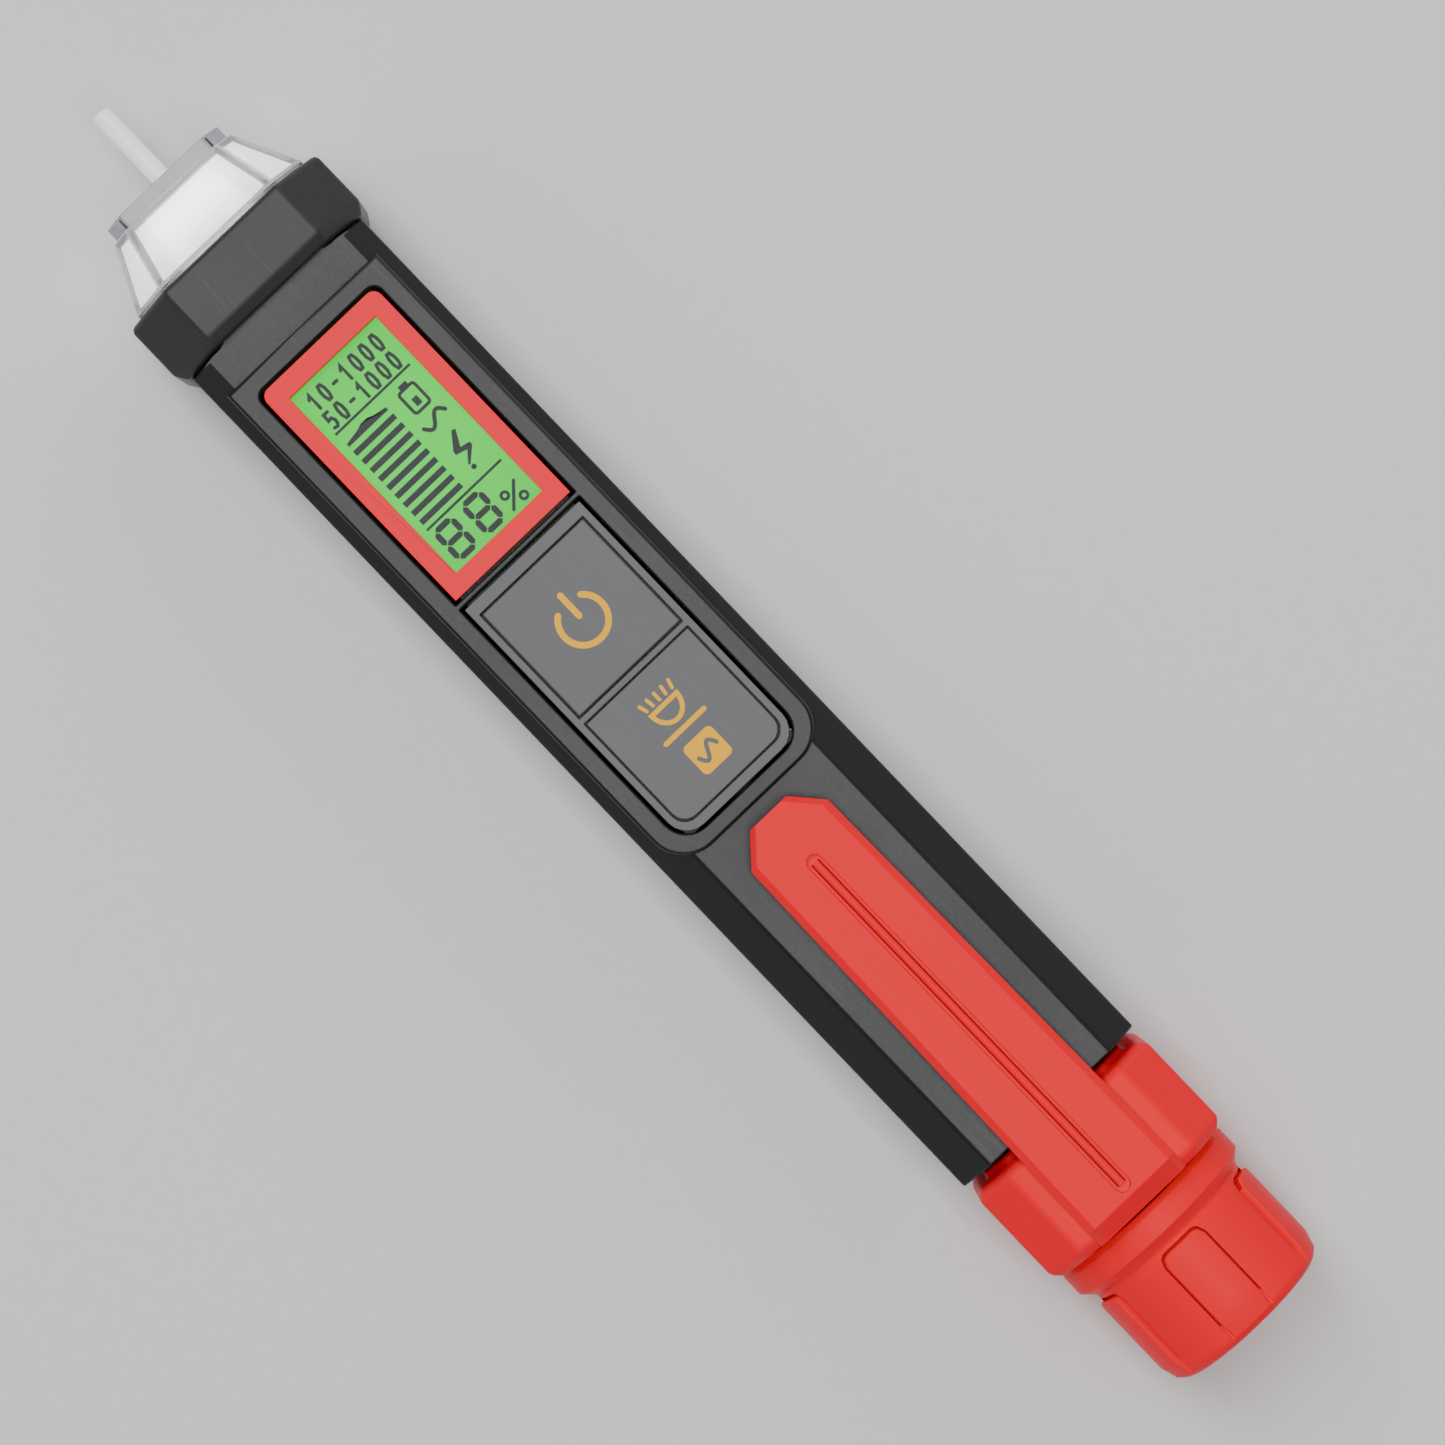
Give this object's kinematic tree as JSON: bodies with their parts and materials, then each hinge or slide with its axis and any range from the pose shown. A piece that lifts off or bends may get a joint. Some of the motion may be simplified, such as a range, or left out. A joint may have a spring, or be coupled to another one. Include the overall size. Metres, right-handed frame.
{
  "type": "non contact voltage tester",
  "caption": "Pen-style non contact voltage tester with probe tip, clear lamp nose, display window, two keys, pocket clip and screw battery cap.",
  "frame": {"origin": "centre of the overall box in X and Y, at the floor that the collar and the clip ring rest on", "axes": "+X along the tool from the probe's tip to the screw cap, +Z out of the display face, +Y across the tool"},
  "size_m": [0.16, 0.0242, 0.0247],
  "materials": {
    "black_plastic": "fine satin texture",
    "grey_plastic": "soft matte",
    "red_plastic": "satin",
    "clear_plastic": "clear, slightly frosted",
    "white_plastic": "translucent white",
    "led_clear": "clear",
    "led_red": "clear red",
    "board": "solder mask",
    "chip_black": "matte",
    "lcd_glass": "backlit display glass",
    "brass": "plated",
    "steel": "plated",
    "cell_jacket": "plain printed jacket",
    "rubber": "matte"
  },
  "bodies": {
    "housing": {"upper_housing": "black_plastic", "lower_housing": "black_plastic", "front_collar": "black_plastic", "nose_cone": "clear_plastic", "probe_sheath": "white_plastic", "antenna_wire": "brass", "led_holder": "white_plastic", "torch_led_left": "led_clear", "torch_led_right": "led_clear", "alarm_led": "led_red", "main_pcb": "board", "microcontroller": "chip_black", "buzzer": "chip_black", "lcd_glass": "lcd_glass", "lcd_backlight": "white_plastic", "zebra_strip": "rubber", "display_bezel": "red_plastic", "display_window": "clear_plastic", "keypad_panel": "grey_plastic", "switch_power": "steel", "switch_torch": "steel", "battery_sleeve": "black_plastic", "battery_front": "cell_jacket", "battery_rear": "cell_jacket", "front_contact": "brass", "negative_strip": "brass", "housing_screw_left": "steel", "housing_screw_right": "steel", "clip_ring": "red_plastic"},
    "power_key": {"power_button": "grey_plastic", "plunger_power": "chip_black"},
    "torch_key": {"torch_button": "grey_plastic", "plunger_torch": "chip_black"},
    "clip": {"clip_arm": "red_plastic"},
    "cap_seal": {"o_ring": "rubber"},
    "cap": {"cap_shell": "red_plastic", "cap_contact": "brass", "cap_spring": "steel"}
  },
  "joints": [
    {"name": "power_press", "type": "slide", "parent": "housing", "child": "power_key", "axis": [0, 0, -1], "range_m": [0, 0.00035], "stiffness_N_per_m": 300},
    {"name": "torch_press", "type": "slide", "parent": "housing", "child": "torch_key", "axis": [0, 0, -1], "range_m": [0, 0.00035], "stiffness_N_per_m": 300},
    {"name": "clip_flex", "type": "hinge", "parent": "housing", "child": "clip", "pos_m": [0.0629, 0, 0.0228], "axis": [0, 1, 0], "range_deg": [0, 8], "stiffness_Nm_per_rad": 0.5},
    {"name": "cap_travel", "type": "slide", "parent": "housing", "child": "cap_seal", "axis": [1, 0, 0], "range_m": [0, 0.00601]},
    {"name": "cap_turn", "type": "hinge", "parent": "cap_seal", "child": "cap", "pos_m": [0.0644, 0, 0.0112], "axis": [1, 0, 0], "range_deg": [0, 900]}
  ],
  "couplings": [
    {"joint": "cap_travel", "follows": "cap_turn", "m_per_rad": 0.00038197}
  ]
}
